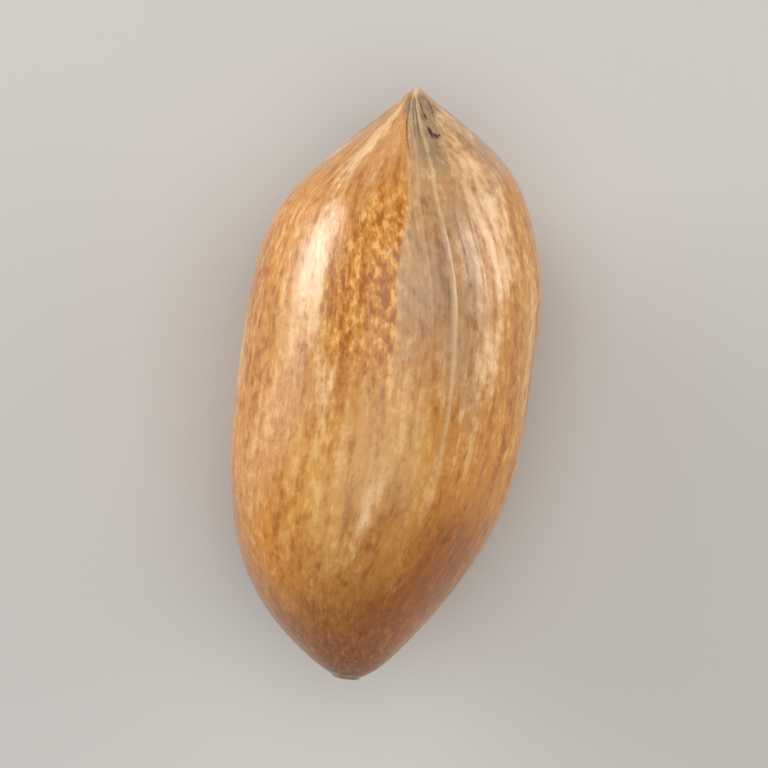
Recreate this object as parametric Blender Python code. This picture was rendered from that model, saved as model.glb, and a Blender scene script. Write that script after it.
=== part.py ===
"""A pecan in its shell, whole and unopened, lying on its side. One solid.

Metres, +Z up, the pointed tip towards +Y. The origin is under the middle of the nut,
on the surface that it lies on.
"""

import math

import bmesh
import bpy
import numpy as np
from mathutils import Matrix, Vector

# Driving dimensions
LENGTH = 0.0422  # along the smooth outline, before the scar and the nib blunt its ends
WIDTH = 0.0205  # across the belly, side to side as it lies
HEIGHT = 0.0199  # across the belly, top to bottom, so it lies on its flatter side
BELLY = 0.546  # station of the widest ring: 0 is the base and 1 is the tip

# How full the two ends are. The base is a blunt dome, and the tip is a cone of about
# 47 degrees a side that leaves the belly through a soft shoulder.
BASE_POWERS = (2.87, 0.775)
TIP_POWERS = (3.275, 1.194)
NIB_START = 0.00075  # how far from the point, along the outline, the last ring stands
NIB_LENGTH = 0.0005  # and how far the blunt end of the tip reaches beyond it
SCAR_RADIUS = 0.0013  # the stalk scar, a low button on the base
SCAR_TOP_SHARE = 0.75  # the radius of its top, as a share of its foot's
SCAR_HEIGHT = 0.0002
SCAR_MIDDLE = 0.0003  # its height at the middle

# The nut isn't straight: the shoulder swells to +X, the tip leans back, the base bends a little.
# Each bend is (station, spread, shift in X, shift in Z).
BENDS = (
    (0.887, 0.071, 0.00072, -0.00010),
    (1.000, 0.035, -0.00055, 0.00005),
    (0.150, 0.180, -0.00088, 0.00025),
    (0.000, 0.060, 0.00040, 0.00000),
)

# Two sutures, where the halves of the shell meet, run opposite each other from tip to base.
# Angles are round the nut's own axis from straight up, towards +X. Both sutures swing to the
# same side as they near the tip, because its point is off the nut's middle.
SUTURE_ANGLE = math.radians(27)
SUTURE_TURN = math.radians(-46)  # how far the first one swings, and the other swings back
SUTURE_TURN_FROM = 0.30
SUTURE_TURN_POWER = 3.5  # they swing slowly at first
SEAM_HEIGHT = 0.0001
SEAM_HALF_WIDTH = math.radians(1.7)
SEAM_FADES = (0.28, 0.62)  # stations where the raised seam is gone, and where it is full

# A pair of keels flanks each suture near the tip and makes the tip four-cornered.
KEEL_OFFSETS = (math.radians(-54), math.radians(35))
KEEL_HEIGHT = 0.00024
KEEL_HALF_WIDTH = math.radians(9)
KEEL_FADES = (0.68, 0.92)
FULL_RELIEF_RADIUS = 0.0035  # nearer the point, seams and keels shrink with the nut's own radius

# Low swells and hollows of the shell. Each is (height, waves round, waves along, phase).
SWELLS = (
    (0.00007, 4, 0.0, 0.6),
    (0.00006, 3, 1.1, 2.1),
    (0.00005, 5, 1.7, 4.0),
    (0.00004, 7, 2.3, 1.2),
)

# How it lies: the base end drops until the shell is level under the centre of mass.
REST_PITCH = math.radians(1.6)
RESTING_DEPTH = 0.00012  # what the small flat spot takes off the belly

# Mesh
OUTLINE_SAMPLES = 4001
RINGS = 42
COLUMNS_PER_HALF = 32
SEAM_COLUMNS = (-1.0, 0.0, 1.0)  # extra columns on each seam, in seam half widths
SNAP = 0.00002

SHELL_COLOUR = (0.51, 0.27, 0.11, 1.0)
SHELL_ROUGHNESS = 0.36


def smooth_step(low, high, value):
    """0 below low, 1 above high, and a smooth rise between them."""
    share = np.clip((value - low) / (high - low), 0, 1)
    return share * share * (3 - 2 * share)


def bump(distance, half_width):
    """A bell curve, 1 at no distance."""
    return np.exp(-((distance / half_width) ** 2))


def angle_between(a, b):
    """The signed difference of two angles, from -pi to pi."""
    return (a - b + math.pi) % (2 * math.pi) - math.pi


def fullness(station):
    """The nut's radius at a station as a share of its radius at the belly."""
    to_base = np.clip((BELLY - station) / BELLY, 0, 1)
    to_tip = np.clip((station - BELLY) / (1 - BELLY), 0, 1)
    dome = (1 - to_base ** BASE_POWERS[0]) ** BASE_POWERS[1]
    cone = (1 - to_tip ** TIP_POWERS[0]) ** TIP_POWERS[1]
    return dome * cone


def angle_from_up(station, round_suture):
    """The angle from straight up of a point at an angle from the first suture."""
    near_tip = np.clip((station - SUTURE_TURN_FROM) / (1 - SUTURE_TURN_FROM), 0, 1)
    swing = SUTURE_TURN * near_tip**SUTURE_TURN_POWER * np.cos(round_suture)
    return SUTURE_ANGLE + swing + round_suture


def relief(station, round_suture):
    """How far the shell stands out or in, in metres, at an angle from the first suture."""
    radius = fullness(station) * WIDTH / 2
    shrinking = np.clip(radius / FULL_RELIEF_RADIUS, 0, 1)
    seam_share = smooth_step(*SEAM_FADES, station) * shrinking
    keel_share = smooth_step(*KEEL_FADES, station) * shrinking
    height = np.zeros(np.broadcast(station, round_suture).shape)
    for suture in (0.0, math.pi):
        seam = bump(angle_between(round_suture, suture), SEAM_HALF_WIDTH)
        height += SEAM_HEIGHT * seam_share * seam
        for offset in KEEL_OFFSETS:
            keel = bump(angle_between(round_suture, suture + offset), KEEL_HALF_WIDTH)
            height += KEEL_HEIGHT * keel_share * keel
    for swell, waves_round, waves_along, phase in SWELLS:
        wave = np.cos(waves_round * round_suture + 2 * math.pi * waves_along * station + phase)
        height += swell * wave * fullness(station)
    return height


def centre_line(station):
    """The X and Z shift of the nut's centre at a station: a sum of soft bends."""
    shift_x = sum(x * bump(station - at, spread) for at, spread, x, _ in BENDS)
    shift_z = sum(z * bump(station - at, spread) for at, spread, _, z in BENDS)
    return shift_x, shift_z


def shell_point(station, round_suture):
    """A point on the shell: a ring of the nut's outline, swollen by the relief."""
    angle = angle_from_up(station, round_suture)
    share = fullness(station)
    height = relief(station, round_suture)
    shift_x, shift_z = centre_line(station)
    x = shift_x + (share * WIDTH / 2 + height) * np.sin(angle)
    y = (station - 0.5) * LENGTH
    z = shift_z + (share * HEIGHT / 2 + height) * np.cos(angle)
    return Vector((float(x), float(y), float(z)))


def ring_stations():
    """Stations of the rings, evenly spaced along the outline from the scar to the nib."""
    station = np.linspace(0, 1, OUTLINE_SAMPLES)
    radius = fullness(station) * WIDTH / 2
    steps = np.hypot(np.diff(station) * LENGTH, np.diff(radius))
    along = np.concatenate(([0], np.cumsum(steps)))
    start = np.interp(SCAR_RADIUS, radius[: len(radius) // 2], along[: len(radius) // 2])
    end = along[-1] - NIB_START
    return np.interp(np.linspace(start, end, RINGS), along, station)


def column_angles():
    """Angles from the first suture, evenly spaced, with extra ones on each raised seam."""
    spacing = math.pi / COLUMNS_PER_HALF
    even = [spacing * step for step in range(1, COLUMNS_PER_HALF)]
    half = [SEAM_HALF_WIDTH * share for share in SEAM_COLUMNS] + even
    return [suture + angle for suture in (0.0, math.pi) for angle in half]


def add_fan(mesh, ring, pole):
    """Closes an end of the nut with triangles from its last ring to one point."""
    point = mesh.verts.new(pole)
    for first, second in zip(ring, ring[1:] + ring[:1]):
        mesh.faces.new((first, second, point))


def add_rings(mesh):
    """Rings of points along the nut, joined by four-sided faces."""
    rings = []
    for station in ring_stations():
        ring = [mesh.verts.new(shell_point(station, angle)) for angle in column_angles()]
        rings.append(ring)
    for low, high in zip(rings, rings[1:]):
        for here in range(len(low)):
            after = (here + 1) % len(low)
            mesh.faces.new((low[here], low[after], high[after], high[here]))
    return rings


def ring_centre(ring):
    """The mean of a ring's points."""
    return sum((point.co for point in ring), Vector()) / len(ring)


def add_ends(mesh, rings):
    """The scar at the base is a low button, and the tip ends in a small blunt nib."""
    base = ring_centre(rings[0])
    rise = Vector((0, -SCAR_HEIGHT, 0))
    button = [mesh.verts.new(base.lerp(point.co, SCAR_TOP_SHARE) + rise) for point in rings[0]]
    for here in range(len(button)):
        after = (here + 1) % len(button)
        mesh.faces.new((button[here], button[after], rings[0][after], rings[0][here]))
    add_fan(mesh, button, base + Vector((0, -SCAR_MIDDLE, 0)))
    tip = ring_centre(rings[-1])
    add_fan(mesh, rings[-1], tip + Vector((0, NIB_LENGTH, 0)))


def lay_down(mesh):
    """Tilts the nut as it lies, and cuts the small flat spot that it rests on."""
    pitch = Matrix.Rotation(REST_PITCH, 3, "X")
    bmesh.ops.rotate(mesh, cent=(0, 0, 0), matrix=pitch, verts=mesh.verts)
    floor = min(point.co.z for point in mesh.verts) + RESTING_DEPTH
    cut = bmesh.ops.bisect_plane(
        mesh,
        geom=mesh.verts[:] + mesh.edges[:] + mesh.faces[:],
        dist=SNAP,
        plane_co=(0, 0, floor),
        plane_no=(0, 0, -1),
        use_snap_center=True,
        clear_outer=True,
    )
    rim = [item for item in cut["geom_cut"] if isinstance(item, bmesh.types.BMEdge)]
    bmesh.ops.edgeloop_fill(mesh, edges=rim)


def centre_on_origin(mesh):
    """Moves the nut so that the origin is under its middle, on the surface it lies on."""
    points = np.array([point.co for point in mesh.verts])
    low, high = points.min(axis=0), points.max(axis=0)
    middle = (low + high) / 2
    bmesh.ops.translate(mesh, vec=(-middle[0], -middle[1], -low[2]), verts=mesh.verts)


def shell_material():
    """The plain brown of the shell."""
    material = bpy.data.materials.new("pecan_shell")
    material.use_nodes = True
    surface = material.node_tree.nodes["Principled BSDF"]
    surface.inputs["Base Color"].default_value = SHELL_COLOUR
    surface.inputs["Roughness"].default_value = SHELL_ROUGHNESS
    surface.inputs["Metallic"].default_value = 0.0
    return material


def make_pecan():
    """The whole nut in its shell, as one closed solid."""
    shape = bmesh.new()
    rings = add_rings(shape)
    add_ends(shape, rings)
    lay_down(shape)
    centre_on_origin(shape)
    bmesh.ops.recalc_face_normals(shape, faces=shape.faces)
    mesh = bpy.data.meshes.new("pecan_in_shell")
    shape.to_mesh(mesh)
    shape.free()
    mesh.shade_smooth()
    mesh.materials.append(shell_material())
    pecan = bpy.data.objects.new("pecan_in_shell", mesh)
    bpy.context.scene.collection.objects.link(pecan)
    return pecan


for old in list(bpy.data.objects):
    bpy.data.objects.remove(old)
make_pecan()
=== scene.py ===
import math

import bpy
import numpy as np
from mathutils import Matrix, Vector


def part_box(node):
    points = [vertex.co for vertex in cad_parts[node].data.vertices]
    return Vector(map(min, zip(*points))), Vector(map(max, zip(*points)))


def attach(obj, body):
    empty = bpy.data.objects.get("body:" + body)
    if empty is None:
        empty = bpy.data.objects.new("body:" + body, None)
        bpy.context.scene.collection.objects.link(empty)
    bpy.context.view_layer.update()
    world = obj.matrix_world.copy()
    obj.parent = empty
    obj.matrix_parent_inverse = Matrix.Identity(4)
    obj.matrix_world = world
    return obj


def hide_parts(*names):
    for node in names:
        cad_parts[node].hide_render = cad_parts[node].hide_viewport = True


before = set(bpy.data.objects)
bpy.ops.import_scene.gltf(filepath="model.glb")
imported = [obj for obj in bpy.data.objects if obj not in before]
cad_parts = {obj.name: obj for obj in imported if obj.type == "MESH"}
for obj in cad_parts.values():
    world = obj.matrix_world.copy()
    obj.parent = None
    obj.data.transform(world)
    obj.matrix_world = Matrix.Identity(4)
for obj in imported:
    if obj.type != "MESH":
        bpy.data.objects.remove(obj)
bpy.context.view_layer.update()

# The shell's outline
# A pecan's shell is thin, hard and woody, and it grew as one piece. It is made here of rings of
# points round the nut's own axis, from a domed base to a cone at the tip. The line through the
# middles of the rings bends a little, and both ends are rounded off.

NUT = "pecan_in_shell"
low_corner, high_corner = (np.array(corner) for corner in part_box(NUT))
box_width, box_length, box_height = high_corner - low_corner

LENGTH = box_length * 1.007  # along the smooth outline, before its ends are blunted
HALF_WIDTH = box_width * 0.498
HALF_HEIGHT = box_height * 0.496
BELLY = 0.546  # station of the widest ring: 0 is the base and 1 is the tip
BASE_POWERS = (2.87, 0.775)
TIP_POWERS = (3.275, 1.194)
NIB = 0.00012  # how much the point of the tip is rounded
NIB_REACH = 0.0016
BASE_BLUNTING = 0.00045  # and how much the base is
BASE_REACH = 0.0032

# Bends of the nut's centre line: station, spread, shift in X, shift in Z
BENDS = (
    (0.887, 0.071, 0.00072, -0.00010),
    (1.000, 0.035, -0.00055, 0.00005),
    (0.150, 0.180, -0.00088, 0.00025),
    (0.000, 0.060, 0.00040, 0.00000),
)


def bump(distance, half_width):
    """A bell curve, 1 at no distance: e to the power of minus the squared share."""
    return np.exp(-((distance / half_width) ** 2))


def fullness(station):
    """Radius as a share of the belly's. Each end is (1 - share ** p) ** q of the way from it."""
    to_base = np.clip((BELLY - station) / BELLY, 0, 1)
    to_tip = np.clip((station - BELLY) / (1 - BELLY), 0, 1)
    dome = (1 - to_base ** BASE_POWERS[0]) ** BASE_POWERS[1]
    cone = (1 - to_tip ** TIP_POWERS[0]) ** TIP_POWERS[1]
    return dome * cone


def rounding(station, radius):
    """What rounding an end off adds to a radius: the square root of the radius squared plus
    twice the radius times the blunting, less the radius."""
    nib = NIB * bump(radius, NIB_REACH)
    blunting = np.where(station > BELLY, nib, BASE_BLUNTING * bump(radius, BASE_REACH))
    return np.sqrt(radius**2 + 2 * blunting * radius) - radius


def centre_line(station):
    """The X and Z shift of a ring's middle: a sum of bell curves."""
    shift_x = sum(x * bump(station - at, spread) for at, spread, x, _ in BENDS)
    shift_z = sum(z * bump(station - at, spread) for at, spread, _, z in BENDS)
    return shift_x, shift_z


# The seams, keels and swells
# The shell's two halves meet at a suture on each side, a fine raised line from tip to base. Two
# soft keels flank each one near the tip and make the point four-cornered, and the whole shell
# swells and dips a little.

SUTURES = (0.0, math.pi)  # their angles round the nut
SUTURE_ANGLE = math.radians(27)  # where the first lies, from straight up towards +X
SUTURE_TURN = math.radians(-46)  # how far it swings near the tip, and the other back
SUTURE_TURN_FROM = 0.30
SUTURE_TURN_POWER = 3.5
SEAM_HEIGHT = 0.00008
SEAM_HALF_WIDTH = 0.00016
SEAM_FADES = (0.30, 0.62)  # stations where the raised line is gone, and where it is full
KEEL_OFFSETS = (math.radians(-54), math.radians(35))
KEEL_HEIGHT = 0.00024
KEEL_HALF_WIDTH = math.radians(9)
KEEL_FADES = (0.68, 0.92)
FULL_RELIEF_RADIUS = 0.0035  # nearer the point, seams, keels and ribs shrink with the radius

# Low swells and hollows: height, waves round, waves along, phase
SWELLS = (
    (0.00007, 4, 0.0, 0.6),
    (0.00006, 3, 1.1, 2.1),
    (0.00005, 5, 1.7, 4.0),
    (0.00004, 7, 2.3, 1.2),
    (0.000008, 11, 5.1, 3.3),
    (0.000004, 16, 7.7, 0.4),
)


def smooth_step(low, high, value):
    """0 below low, 1 above high, and a smooth rise between them: 3 share ** 2 - 2 share ** 3."""
    share = np.clip((value - low) / (high - low), 0, 1)
    return share * share * (3 - 2 * share)


def angle_between(a, b):
    """The signed difference of two angles, from -pi to pi."""
    return (a - b + math.pi) % (2 * math.pi) - math.pi


def angle_from_up(station, around):
    """A point's angle from straight up: its angle from the first suture, and a swing that grows
    with a power of the way to the tip."""
    to_tip = np.clip((station - SUTURE_TURN_FROM) / (1 - SUTURE_TURN_FROM), 0, 1)
    swing = SUTURE_TURN * to_tip**SUTURE_TURN_POWER * np.cos(around)
    return SUTURE_ANGLE + swing + around


# The ribs, grooves and pits of the tip
# Fine ribs fan out from the point, with dark grooves between the nearest ones, and a few small
# dark pits lie beside the seam. They grew in the shell.

# Ribs: degrees from the suture, height, half width, lowest station
TIP_RIBS = (
    (-30, 0.00004, 0.00014, 0.82),
    (-19, 0.00006, 0.00013, 0.52),
    (-9, 0.00005, 0.00012, 0.56),
    (8, 0.00004, 0.00012, 0.66),
    (15, 0.00005, 0.00014, 0.60),
    (24, 0.00005, 0.00015, 0.62),
    (38, 0.00005, 0.00016, 0.76),
    (52, 0.00004, 0.00016, 0.80),
)
RIB_RUN = 0.14  # how many stations a rib takes to reach its full height

# Grooves: degrees from the suture where one starts and at the nib, depth, half width, and the
# station where it starts
TIP_GROOVES = (
    (-13, -24, 0.00004, 0.00007, 0.865),
    (-8, -10, 0.00003, 0.00005, 0.900),
    (-4, -3, 0.00005, 0.00006, 0.900),
    (5, 14, 0.00003, 0.00006, 0.935),
    (14, 44, 0.00004, 0.00007, 0.935),
)
GROOVE_RUN = 0.03  # how many stations a groove takes to reach its full depth
GROOVE_END = (0.972, 0.990)  # stations where the grooves fade out below the nib

# Pits: degrees from the suture, station, half width, half length, depth
PITS = (
    (8.0, 0.9255, 0.00014, 0.00040, 0.00016),
    (12.0, 0.9210, 0.00012, 0.00016, 0.00008),
    (15.5, 0.9225, 0.00008, 0.00009, 0.00004),
    (10.0, 0.9510, 0.00007, 0.00022, 0.00004),
)


def grooves(station, across, radius):
    """The dark grooves, as (share, depth): a bell across each line, which swings on its way to
    the nib, rises from where the groove starts and fades at the nib."""
    share = np.zeros(np.broadcast(station, across).shape)
    depth = np.zeros(share.shape)
    for first, last, deep, half_width, start in TIP_GROOVES:
        on_way = np.clip((station - start) / (1 - start), 0, 1)
        line = np.radians(first + (last - first) * on_way)
        fades = smooth_step(start, start + GROOVE_RUN, station)
        fades = fades * (1 - smooth_step(*GROOVE_END, station))
        groove = fades * bump((across - line) * radius, half_width)
        share += groove
        depth += deep * groove
    return share, depth


def pits(station, around, radius):
    """The pits, as (share, depth): a bell for each, across it and along it."""
    share = np.zeros(np.broadcast(station, around).shape)
    depth = np.zeros(share.shape)
    for degrees, at, half_width, half_length, deep in PITS:
        across = bump(angle_between(around, math.radians(degrees)) * radius, half_width)
        hollow = across * bump((station - at) * LENGTH, half_length)
        share += hollow
        depth += deep * hollow
    return share, depth


# The grain, the stalk scar and the whole shell
# Low crests of woody grain run the nut's length, and the stalk left a scar on the base, a low
# ring round a sunken middle. The nut lies on its belly, pitched until it is level there.

GRAIN_HEIGHT = 0.000011
GRAIN_COUNTS = range(21, 64, 3)  # crests round the nut
GRAIN_DRIFT = 1.5  # how many crests they drift by, at most, on the way from base to tip
GRAIN_FULL_RADIUS = 0.0085
SCAR_RADIUS = 0.0011
SCAR_HEIGHT = 0.00013
SCAR_HOLLOW = 0.00010
SCAR_RING = (0.8, 1.0)  # shares of its radius where the ring falls away
SCAR_DISH = (0.2, 0.75)  # and where the sunken middle rises to the ring
REST_PITCH = math.radians(1.6)
RESTING_DEPTH = 0.00012  # what the flat spot that it rests on takes off the belly
OUTLINE_SAMPLES = 8001
COLUMNS = 360
RINGS = 272
SEAM_CROWDING = 0.6  # columns stand closer together at the two seams
END_CROWDING = 0.35  # and rings at the two ends


def grain_waves(around, station, counts, seed):
    """Low crests that run the nut's length: a sum of cosines, each with a whole number of
    crests round the nut, that drift a little on their way along it."""
    chance = np.random.default_rng(seed)
    total = np.zeros(np.broadcast(around, station).shape)
    for count in counts:
        drift = chance.uniform(-GRAIN_DRIFT, GRAIN_DRIFT)
        phase = chance.uniform(0, 2 * math.pi)
        total += np.cos(count * around + 2 * math.pi * drift * station + phase)
    return total / math.sqrt(len(counts))


def relief(station, around, radius):
    """Height over the smooth outline: bells across the seam, the keels and the ribs, and waves
    for the swells and the grain, each faded along the nut and kept below the nut's own radius."""
    shrinking = np.clip(radius / FULL_RELIEF_RADIUS, 0, 1)
    seam_rise = SEAM_HEIGHT * smooth_step(*SEAM_FADES, station) * shrinking
    keel_rise = KEEL_HEIGHT * smooth_step(*KEEL_FADES, station) * shrinking
    height = np.zeros(np.broadcast(station, around).shape)
    for suture in SUTURES:
        across = angle_between(around, suture)
        height += seam_rise * bump(across * radius, SEAM_HALF_WIDTH)
        for offset in KEEL_OFFSETS:
            height += keel_rise * bump(angle_between(across, offset), KEEL_HALF_WIDTH)
        for degrees, rise, half_width, lowest in TIP_RIBS:
            rib = bump(angle_between(across, math.radians(degrees)) * radius, half_width)
            height += rise * smooth_step(lowest, lowest + RIB_RUN, station) * shrinking * rib
        height -= grooves(station, across, radius)[1]
    height -= pits(station, around, radius)[1]
    for swell, waves_round, waves_along, phase in SWELLS:
        wave = np.cos(waves_round * around + 2 * math.pi * waves_along * station + phase)
        height += swell * wave * fullness(station)
    off_ends = np.clip(radius / GRAIN_FULL_RADIUS, 0, 1) ** 2
    height += GRAIN_HEIGHT * off_ends * grain_waves(around, station, GRAIN_COUNTS, seed=4)
    return height


def scar_rise(from_middle):
    """How far the scar stands off the base, by the share of its radius: a flat button with
    smooth sides, less a smooth dish."""
    button = SCAR_HEIGHT * (1 - smooth_step(*SCAR_RING, from_middle))
    return button - SCAR_HOLLOW * (1 - smooth_step(*SCAR_DISH, from_middle))


def ring_stations():
    """Stations of the rings: steps along the outline that are even but for a share of a cosine,
    which crowds them at the ends."""
    fine = np.linspace(0, 1, OUTLINE_SAMPLES)
    outline = fullness(fine) * HALF_WIDTH
    run = np.concatenate(([0], np.cumsum(np.hypot(np.diff(fine) * LENGTH, np.diff(outline)))))
    even = np.linspace(0, 1, RINGS + 2)[1:-1]
    crowded = (1 - np.cos(math.pi * even)) / 2
    share = (1 - END_CROWDING) * even + END_CROWDING * crowded
    return np.interp(share * run[-1], run, fine)[:, None]


def column_angles():
    """Angles from the first suture: even ones less a share of the sine of twice the angle,
    which crowds them at both seams."""
    turn = np.linspace(0, 2 * math.pi, COLUMNS, endpoint=False)
    return (turn - SEAM_CROWDING * np.sin(2 * turn) / 2)[None, :]


def pecan_surface(station, around):
    """The shell's points, rings by columns. A point is its ring's middle plus the radius and the
    relief in its own direction. The whole is then pitched, and its belly cut level."""
    full = fullness(station)
    radius = full * HALF_WIDTH
    rounded = rounding(station, radius)
    height = relief(station, around, radius) + rounded
    angle = angle_from_up(station, around)
    centre_x, centre_z = centre_line(station)
    x = centre_x + (full * HALF_WIDTH + height) * np.sin(angle)
    z = centre_z + (full * HALF_HEIGHT + height) * np.cos(angle)
    scar = scar_rise((radius + rounded) / SCAR_RADIUS) * (station < BELLY)
    y = (station - 0.5) * LENGTH - scar
    cosine, sine = math.cos(REST_PITCH), math.sin(REST_PITCH)
    y, z = y * cosine - z * sine, y * sine + z * cosine
    z = np.maximum(z, z.min() + RESTING_DEPTH)
    return np.stack((x, y, z), axis=-1)


def close_grid(points):
    """Rings of points, then a point at each end: quads between rings and a fan at each end."""
    rings, columns = points.shape[:2]
    index = np.arange(rings * columns).reshape(rings, columns)
    after = np.roll(index, -1, axis=1)
    quads = np.stack((index[:-1], after[:-1], after[1:], index[1:]), axis=-1).reshape(-1, 4)
    base_pole, tip_pole = rings * columns, rings * columns + 1
    base = np.stack((after[0], index[0], np.full(columns, base_pole)), axis=-1)
    tip = np.stack((index[-1], after[-1], np.full(columns, tip_pole)), axis=-1)
    poles = points[[0, -1]].mean(axis=1)
    corners = np.concatenate((points.reshape(-1, 3), poles))
    return corners, quads.tolist() + base.tolist() + tip.tolist()


station = ring_stations()
around = column_angles()
corners, faces = close_grid(pecan_surface(station, around))

# It fills the box of the solid that it replaces
span = corners.max(axis=0) - corners.min(axis=0)
corners = low_corner + (corners - corners.min(axis=0)) * (high_corner - low_corner) / span

mesh = bpy.data.meshes.new("pecan_shell")
mesh.from_pydata(corners.tolist(), [], faces)
mesh.shade_smooth()
pecan = bpy.data.objects.new("pecan_shell", mesh)
bpy.context.scene.collection.objects.link(pecan)

# Where the shell's colours lie
# The colours follow the shell's own lines. A pale wedge runs down each seam from the tip, with
# a strip of bright orange mottling along its left side, and the rest is golden tan, streaked
# lengthwise, that goes redder and browner towards the base, the brown partly painted shade. Some
# pale, rosy and brown ovals are painted highlights, reflections, sheen and shade. Angles are
# degrees from a suture.

# The wedge
WEDGE_LEFT = (-23.5, -14.5)  # its left edge, at the belly and near the tip
WEDGE_NARROWS = (0.62, 0.84)
WEDGE_WAVER = (0.8, 5.3)  # how far that edge wavers, and how often along the nut
WEDGE_RIGHT = 17
WEDGE_WIDENS = 70  # how much further its right edge lies at the tip
WEDGE_WIDENING = (0.70, 0.96)  # stations where it starts to, and where it is done
WEDGE_BLURS = (3.0, 20)
WEDGE_FADES = (0.33, 0.67)  # stations where it is gone, and where it is full
WEDGE_SLANT = 0.08  # it reaches further down on its right than on its left
WEDGE_SLANT_ANGLE = 12

# The mottled strip beside it, and fainter mottling on both flanks
MOTTLE_WIDTH = 24
MOTTLE_BLURS = (7, 1.5)
MOTTLE_FADES = (0.44, 0.62)
MOTTLE_TIP_FADES = (0.76, 0.88)
LEFT_FLANK_START = -125
LEFT_FLANK_GAP = 40  # between this flank and the wedge
LEFT_FLANK_BLURS = (20, 8)
RIGHT_FLANK = (40, 100)
RIGHT_FLANK_BLURS = (12, 20)
FLANK_SHARE = 0.15
FLANK_FADES = (0.08, 0.30)

# The cream thread on the seam, a fainter one beside it and one on the wedge's left edge
LINE_HALF_WIDTH = 0.00014
LINE_FADES = (0.24, 0.42)  # stations where it is gone, and where it is full
SIDE_LINE = math.radians(-9)
SIDE_LINE_SHARE = 0.5
SIDE_LINE_FADES = (0.50, 0.62)

# The scar's ragged outline, as share of the radius, waves round and phase, and its dark rim
SCAR_RAGS = ((0.08, 3, 1), (0.06, 5, 4))
SCAR_EDGE = (0.7, 1.1)  # shares of its radius where its paint is full, and where it is gone
SCAR_RIM_SHARE = 0.8
SCAR_RIM_HALF_WIDTH = 0.00020

# Stains and painted light: degrees from the suture, station, half width in degrees, half length,
# strength
STAINS_AND_PAINTED_LIGHT = {
    # Rosy patches; the one below the left highlight is partly its painted tail, and the one on
    # the left flank near the tip is painted sheen along that flank
    "rosy_and_sheen": (
        (-62, 0.48, 12, 0.11, 0.9),
        (-14, 0.34, 8, 0.09, 0.5),
        (-46, 0.88, 14, 0.07, 0.9),
        (10, 0.70, 8, 0.12, 0.4),
        (100, 0.45, 16, 0.14, 0.8),
    ),
    "yellow": (
        (44, 0.62, 12, 0.20, 0.9),
        (-24, 0.43, 16, 0.10, 1.0),
        (-40, 0.28, 18, 0.11, 0.9),
        (-85, 0.47, 9, 0.16, 0.4),
        (-6, 0.37, 12, 0.10, 0.5),
        (-60, 0.37, 8, 0.07, 0.6),
        (110, 0.66, 12, 0.10, 0.7),
    ),
    # Pale patches, and painted highlights and reflections: under and below the highlight on the
    # left flank, the reflection of the right-hand light, the lit crest of the left keel near the
    # tip, and painted light that lifts the shaded right rim
    "pale_and_highlight": (
        (27, 0.77, 11, 0.08, 1.2),
        (17, 0.56, 5, 0.08, 0.9),
        (-26, 0.40, 3, 0.12, 0.5),
        (22, 0.89, 20, 0.05, 0.6),
        (-48, 0.50, 4, 0.07, 0.6),
        (-61, 0.67, 8, 0.14, 1.1),
        (-8, 0.37, 11, 0.10, 0.08),
        (-28, 0.26, 12, 0.08, 0.35),
        (42, 0.60, 8, 0.10, 0.35),
        (-60, 0.955, 18, 0.025, 0.9),
        (-60, 0.92, 12, 0.03, 1.2),
        (-64, 0.87, 9, 0.03, 1.1),
        (46, 0.95, 16, 0.03, 0.7),
        (70, 0.60, 6, 0.12, 0.7),
    ),
    "orange": (
        (-70, 0.20, 16, 0.07, 0.9),
        (60, 0.50, 9, 0.20, 0.6),
        (-95, 0.72, 12, 0.12, 0.8),
        (33, 0.40, 10, 0.09, 0.7),
    ),
    # Brown patches, partly painted shade: the ones at the lower right and near the base are part
    # brown colour and part painted shade, and the one on the left flank is painted shade along
    # that rim
    "brown_and_shade": (
        (30, 0.19, 30, 0.12, 1.1),
        (14, 0.25, 12, 0.08, 0.5),
        (-5, 0.12, 22, 0.06, 0.7),
        (80, 0.26, 24, 0.15, 0.5),
        (-100, 0.62, 13, 0.17, 0.5),
        (-23, 0.84, 5, 0.08, 0.4),
    ),
    "dusky": (
        (2, 0.92, 15, 0.06, 1.2),
        (-5, 0.98, 60, 0.04, 1.0),
    ),
}
OVAL_SLIDE = 0.07  # how much nearer the base they lie beside the second seam


def band(across, left, right, blurs):
    """1 between two angles, and soft at both edges: a smooth step up times one down."""
    degrees = np.degrees(across)
    rise = smooth_step(left - blurs[0], left + blurs[0], degrees)
    fall = smooth_step(right - blurs[1], right + blurs[1], degrees)
    return rise * (1 - fall)


def oval_shares(oval_list):
    """How strongly a list of ovals colours each point, real colour and painted light alike: a sum
    of soft ovals round each seam.
    """
    total = np.zeros((RINGS, COLUMNS))
    for suture, slide in zip(SUTURES, (0.0, OVAL_SLIDE)):
        across = np.degrees(angle_between(around, suture))
        for degrees, at, half_width, half_length, strength in oval_list:
            oval = bump(across - degrees, half_width) * bump(station + slide - at, half_length)
            total += strength * oval
    return np.clip(total, 0, 1)


def keep(name, values):
    """Stores a number or a vector for each point of the shell, for the material to read by its
    name. The point that closes an end takes the mean of its ring."""
    size = values.shape[-1]
    grid = np.broadcast_to(values, (RINGS, COLUMNS, size))
    poles = grid[[0, -1]].mean(axis=1)
    flat = np.concatenate((grid.reshape(-1, size), poles)).astype(np.float32).ravel()
    kind, field = {1: ("FLOAT", "value"), 3: ("FLOAT_VECTOR", "vector")}[size]
    mesh.attributes.new(name, kind, "POINT").data.foreach_set(field, flat)


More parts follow.
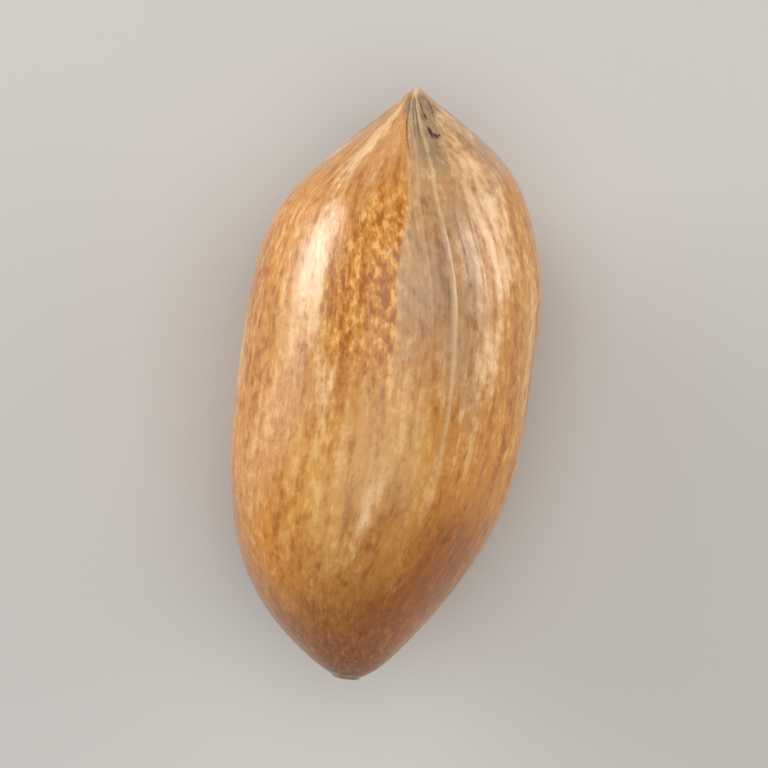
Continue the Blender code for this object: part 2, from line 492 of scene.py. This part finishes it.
radius = fullness(station) * HALF_WIDTH
wedge, mottled, seam_line, dark = (np.zeros((RINGS, COLUMNS)) for _ in range(4))
waver = WEDGE_WAVER[0] * np.sin(2 * math.pi * WEDGE_WAVER[1] * station)
narrowing = (WEDGE_LEFT[1] - WEDGE_LEFT[0]) * smooth_step(*WEDGE_NARROWS, station)
wedge_start = WEDGE_LEFT[0] + narrowing + waver
wedge_end = WEDGE_RIGHT + WEDGE_WIDENS * smooth_step(*WEDGE_WIDENING, station) ** 2
for suture in SUTURES:
    across = angle_between(around, suture)
    slanted = station - WEDGE_SLANT * np.tanh(-np.degrees(across) / WEDGE_SLANT_ANGLE)
    wedge_band = band(across, wedge_start, wedge_end, WEDGE_BLURS)
    wedge += wedge_band * smooth_step(*WEDGE_FADES, slanted)

    strip = band(across, wedge_start - MOTTLE_WIDTH, wedge_start, MOTTLE_BLURS)
    strip = strip * smooth_step(*MOTTLE_FADES, station)
    left_flank = band(across, LEFT_FLANK_START, wedge_start - LEFT_FLANK_GAP, LEFT_FLANK_BLURS)
    flanks = left_flank + band(across, *RIGHT_FLANK, RIGHT_FLANK_BLURS)
    strip += FLANK_SHARE * flanks * smooth_step(*FLANK_FADES, station)
    mottled += strip * (1 - smooth_step(*MOTTLE_TIP_FADES, station))

    seam_line += bump(across * radius, LINE_HALF_WIDTH) * smooth_step(*LINE_FADES, station)
    side_lines = bump((across - SIDE_LINE) * radius, LINE_HALF_WIDTH)
    side_lines += bump((across - np.radians(wedge_start)) * radius, LINE_HALF_WIDTH)
    seam_line += SIDE_LINE_SHARE * side_lines * smooth_step(*SIDE_LINE_FADES, station)
    dark += grooves(station, across, radius)[0]

rags = sum((share * np.cos(waves * around + phase) for share, waves, phase in SCAR_RAGS), 1)
ragged_radius = radius * rags
scar = (1 - smooth_step(*SCAR_EDGE, ragged_radius / SCAR_RADIUS)) * (station < BELLY)
scar_rim = bump(ragged_radius - SCAR_RADIUS, SCAR_RIM_HALF_WIDTH) * (station < BELLY)
dark += SCAR_RIM_SHARE * scar_rim

# Where the pattern is read: round a circle that narrows less than the nut does, and along the
# shell's own outline, so that flecks keep their size and streaks still run to both ends.
circle = HALF_WIDTH * np.sqrt(fullness(station))
outline_step = np.hypot(np.diff(station, axis=0) * LENGTH, np.diff(radius, axis=0))
outline_run = np.concatenate(([[0]], np.cumsum(outline_step, axis=0)))
outline_run = np.broadcast_to(outline_run, (RINGS, COLUMNS))
side = np.stack((circle * np.cos(around), circle * np.sin(around), outline_run), axis=-1)

keep("grain", side)
layers = {"wedge": wedge, "mottled": mottled, "seam_line": seam_line, "groove": dark}
layers |= {"pit": pits(station, around, radius)[0], "scar": scar}
layers |= {name: oval_shares(oval_list) for name, oval_list in STAINS_AND_PAINTED_LIGHT.items()}
layers |= {"station": station}
for name, values in layers.items():
    keep(name, values[..., None])

# The shell's finish
# The shell is polished: its brown, tan and cream colours grew in the wood, as flecks, dashes and
# streaks along the grain, under a thin clear gloss. Its pale, rosy and brown zones also hold
# painted highlights, reflections, sheen and shade. Each zone has a dark, a middle and a light
# shade, and one pattern of noise chooses between them.


def colour(red, green, blue):
    """A colour as it looks on a screen, 0 to 255, in the linear light that a material takes."""
    share = np.array((red, green, blue)) / 255
    linear = np.where(share < 0.04045, share / 12.92, ((share + 0.055) / 1.055) ** 2.4)
    return (*(float(part) for part in linear), 1.0)


class Value:
    """A node's output in a material. An expression on numbers adds the Math nodes for it."""

    def __init__(self, finish, socket):
        self.finish = finish
        self.socket = socket

    def math(self, operation, first, second):
        return self.finish.node("Math", {"operation": operation}, {0: first, 1: second})

    def __add__(self, other):
        return self.math("ADD", self, other)

    def __sub__(self, other):
        return self.math("SUBTRACT", self, other)

    def __rsub__(self, other):
        return self.math("SUBTRACT", other, self)

    def __mul__(self, other):
        return self.math("MULTIPLY", self, other)

    __radd__ = __add__
    __rmul__ = __mul__

    def step(self, low, high):
        """0 below low, 1 above high, and a smooth rise between them."""
        inputs = {"Value": self, "From Min": low, "From Max": high}
        return self.finish.node("MapRange", {"interpolation_type": "SMOOTHSTEP"}, inputs)


class Finish:
    """A material with one Principled surface, built up from nodes."""

    def __init__(self, name, **surface):
        self.material = bpy.data.materials.new(name)
        self.material.use_nodes = True
        self.tree = self.material.node_tree
        self.surface = self.tree.nodes["Principled BSDF"]
        for socket, value in surface.items():
            self.feed(self.surface.inputs[socket.replace("_", " ")], value)

    def feed(self, socket, value):
        if isinstance(value, Value):
            self.tree.links.new(value.socket, socket)
        else:
            socket.default_value = value

    def node(self, kind, settings, inputs, output=0):
        """Adds a node: its settings first, then the values or links of its sockets."""
        made = self.tree.nodes.new("ShaderNode" + kind)
        for name, value in settings.items():
            setattr(made, name, value)
        for name, value in inputs.items():
            self.feed(made.inputs[name], value)
        return Value(self, made.outputs[output])

    def read(self, name, output="Fac"):
        """What keep stored for each point, by its name."""
        return self.node("Attribute", {"attribute_name": name}, {}, output)

    def mix(self, below, above, share):
        """One colour over another, by share."""
        return self.node("Mix", {"data_type": "RGBA"}, {0: share, 6: below, 7: above}, output=2)


GOLD = (colour(163, 102, 43), colour(195, 132, 58), colour(221, 168, 94))
ORANGE = (colour(164, 95, 30), colour(200, 131, 52), colour(230, 176, 96))
# Rose shades, also used for painted sheen
ROSE_AND_SHEEN = (colour(173, 117, 68), colour(198, 143, 90), colour(218, 173, 121))
YELLOW = (colour(186, 131, 64), colour(210, 156, 81), colour(229, 183, 111))
# Pale shades, also used for painted highlights and reflections
PALE_AND_HIGHLIGHT = (colour(200, 150, 98), colour(228, 184, 134), colour(244, 211, 168))
DUSKY = (colour(112, 88, 62), colour(150, 121, 88), colour(182, 152, 114))
GREIGE = (colour(145, 109, 74), colour(182, 142, 102), colour(214, 177, 133))
# Brown shades, also used for painted shade towards the base and on the flanks
BROWN_AND_SHADE = (colour(92, 47, 18), colour(138, 72, 27), colour(174, 106, 47))
CREAM = colour(218, 187, 145)
GROOVE_BROWN = colour(86, 63, 43)
PIT_BROWN = colour(68, 45, 28)
DARK_TO_MIDDLE = (-0.30, 0.02)  # tones where a zone's middle shade takes over
MIDDLE_TO_LIGHT = (0.0, 0.32)  # and where its light shade does
TIP_PAINT = (0.78, 0.92)  # stations where the tip's colours come in
NIB_PAINT = (0.980, 0.992)
BUMP_STRENGTH = 0.5
BUMP_HEIGHT = 0.00012

shell = Finish("shell", IOR=1.5, Specular_IOR_Level=0.35, Coat_Weight=0.5, Coat_Roughness=0.26)
grain = shell.read("grain", "Vector")
wedge_here = shell.read("wedge")
mottled_here = shell.read("mottled")
along = shell.read("station")
at_tip = along.step(*TIP_PAINT)


def noise(scale, size, detail, roughness):
    """Noise round zero, in patches about size metres across. A scale under 1 stretches them
    along the grain."""
    stretched = shell.node("Mapping", {}, {"Vector": grain, "Scale": (1, 1, scale)})
    inputs = {"Vector": stretched, "Scale": 1 / size, "Detail": detail, "Roughness": roughness}
    return shell.node("TexNoise", {}, inputs) - 0.5


streaks = noise(0.10, 0.0010, 3, 0.6)
fine_streaks = noise(0.22, 0.00022, 2, 0.6)
patches = noise(0.45, 0.0030, 3, 0.55)
dashes = noise(0.45, 0.00052, 2, 0.55)
blotches = noise(0.72, 0.00058, 2, 0.55)
specks = noise(0.60, 0.00019, 2, 0.6)

# Zones with ragged, streaky edges, each over the ones before it: its shades, what marks it, the
# marks where it is gone and where it is full, and its strength
ragged = streaks * 1.2 + blotches * 0.6
zones = (
    (ORANGE, mottled_here + shell.read("orange") * 0.8 + patches * 0.7, (0.10, 0.80), 1.0),
    # Rosy patches and the rosy tip, partly painted sheen
    (ROSE_AND_SHEEN, shell.read("rosy_and_sheen") + at_tip * 0.4 + ragged, (0.15, 0.90), 0.75),
    (YELLOW, shell.read("yellow") + ragged, (0.15, 0.90), 0.75),
    (GREIGE, wedge_here + streaks + blotches * 0.8 + patches * 0.5, (0.20, 0.85), 0.82),
    (DUSKY, shell.read("dusky") + streaks * 0.8, (0.20, 0.90), 0.85),
    # Pale patches, and painted highlights and reflections
    (PALE_AND_HIGHLIGHT, shell.read("pale_and_highlight") + ragged * 1.2, (0.25, 0.90), 0.85),
    # Brown patches, partly painted shade
    (BROWN_AND_SHADE, shell.read("brown_and_shade") + ragged * 1.2, (0.05, 1.15), 0.80),
    # The base goes brown, part its own colour and part painted shade
    (BROWN_AND_SHADE, 1 - along + streaks * 0.30 + patches * 0.25, (0.79, 0.99), 0.90),
)
shades = GOLD
for colours, mark, edges, strength in zones:
    share = mark.step(*edges) * strength
    shades = [shell.mix(below, above, share) for below, above in zip(shades, colours)]

# The flecks stand out most in the mottled strip, and least on the wedge, the tip and the base
contrast = (mottled_here * 0.5 + patches.step(-0.12, 0.12) * 0.4 + 0.8) * (1 - at_tip * 0.6)
contrast = contrast * (1 - wedge_here * 0.25) * (along.step(0.25, 0.60) * 0.2 + 0.8)
fleck = blotches * (mottled_here * 0.5 + 0.6) + dashes * 0.7 + specks * 0.35 + fine_streaks * 0.30
tone = fleck * contrast + streaks * (0.95 - mottled_here * 0.3) + patches * 0.35
painted = shell.mix(shades[0], shades[1], tone.step(*DARK_TO_MIDDLE))
painted = shell.mix(painted, shades[2], tone.step(*MIDDLE_TO_LIGHT))

# Over them go the seam's cream thread, the cream nib, the stalk scar, the dark grooves and rim,
# and the pits
thread = shell.read("seam_line") * (streaks * 2 + 0.85)
scar_paint = shell.mix(DUSKY[0], DUSKY[2], (specks * 0.5 + streaks).step(-0.30, 0.30))
painted = shell.mix(painted, CREAM, thread * 0.7)
painted = shell.mix(painted, CREAM, (along + specks * 0.01).step(*NIB_PAINT) * 0.3)
painted = shell.mix(painted, scar_paint, shell.read("scar"))
painted = shell.mix(painted, GROOVE_BROWN, shell.read("groove") * (specks * 3 + 0.8))
painted = shell.mix(painted, PIT_BROWN, (shell.read("pit") + blotches * 0.5).step(0.10, 0.65))

height = fine_streaks * 0.5 + streaks * 1.2 + blotches * (mottled_here * 0.9 + 0.4) + specks * 0.2
fine_relief = {"Height": height, "Strength": BUMP_STRENGTH, "Distance": BUMP_HEIGHT}
shell.feed(shell.surface.inputs["Base Color"], painted)
shell.feed(shell.surface.inputs["Roughness"], fine_streaks * 0.20 + blotches * 0.20 + 0.33)
shell.feed(shell.surface.inputs["Normal"], shell.node("Bump", {}, fine_relief))
mesh.materials.append(shell.material)

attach(pecan, "root")
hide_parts(NUT)

# The studio
# A plain pale floor, a large soft light low on the left that leans towards the tip, a broad
# weaker one low on the right, a wide one overhead, and a camera straight above, turned as the
# nut lies in the picture.

FLOOR_CORNERS = ((-2, -2, 0), (2, -2, 0), (2, 2, 0), (-2, 2, 0))
FLOOR_GREY = (0.58, 0.57, 0.55, 1)
FLOOR_ROUGHNESS = 0.9
SKY_WHITE = (1.0, 0.98, 0.95, 1)
SKY_STRENGTH = 0.27
VIEW_LEAN = math.radians(7.5)  # how far the tip leans to the right in the picture
VIEW_WIDTH = 0.054  # what the picture takes in, at the nut's middle
CAMERA_DISTANCE = 0.50
SENSOR_WIDTH = 36  # in millimetres, as the lens's length is

# Soft lights: name, direction from the nut, distance, width and height, power, tint
LIGHTS = (
    ("key", (-0.90, 0.38, 0.24), 0.45, (0.34, 0.16), 1.68, (0.99, 0.985, 0.985)),
    ("side", (0.88, 0.40, 0.22), 0.50, (0.36, 0.20), 1.3, (1.0, 0.96, 0.91)),
    ("top", (0.05, 0.0, 0.95), 0.80, (0.90, 0.90), 4.2, (1.0, 0.98, 0.96)),
)

middle = Vector((low_corner + high_corner) / 2)

floor_mesh = bpy.data.meshes.new("floor")
floor_mesh.from_pydata(FLOOR_CORNERS, [], [(0, 1, 2, 3)])
floor = bpy.data.objects.new("floor", floor_mesh)
bpy.context.scene.collection.objects.link(floor)
floor_paint = Finish("floor", Base_Color=FLOOR_GREY, Roughness=FLOOR_ROUGHNESS)
floor_mesh.materials.append(floor_paint.material)

for name, direction, distance, size, power, tint in LIGHTS:
    light = bpy.data.lights.new(name, "AREA")
    light.shape = "RECTANGLE"
    light.size, light.size_y = size
    light.energy = power
    light.color = tint
    lamp = bpy.data.objects.new(name, light)
    place = Vector(direction).normalized() * distance
    lamp.location = middle + place
    lamp.rotation_euler = place.to_track_quat("Z", "Y").to_euler()
    bpy.context.scene.collection.objects.link(lamp)

world = bpy.data.worlds.new("studio")
world.use_nodes = True
sky = world.node_tree.nodes["Background"]
sky.inputs["Color"].default_value = SKY_WHITE
sky.inputs["Strength"].default_value = SKY_STRENGTH
bpy.context.scene.world = world
bpy.context.scene.view_settings.view_transform = "Standard"

lens = bpy.data.cameras.new("camera")
lens.sensor_width = SENSOR_WIDTH
lens.lens = SENSOR_WIDTH * CAMERA_DISTANCE / VIEW_WIDTH
camera = bpy.data.objects.new("camera", lens)
above = Matrix.Translation(middle + Vector((0, 0, CAMERA_DISTANCE)))
camera.matrix_world = above @ Matrix.Rotation(VIEW_LEAN, 4, "Z")
bpy.context.scene.collection.objects.link(camera)
bpy.context.scene.camera = camera
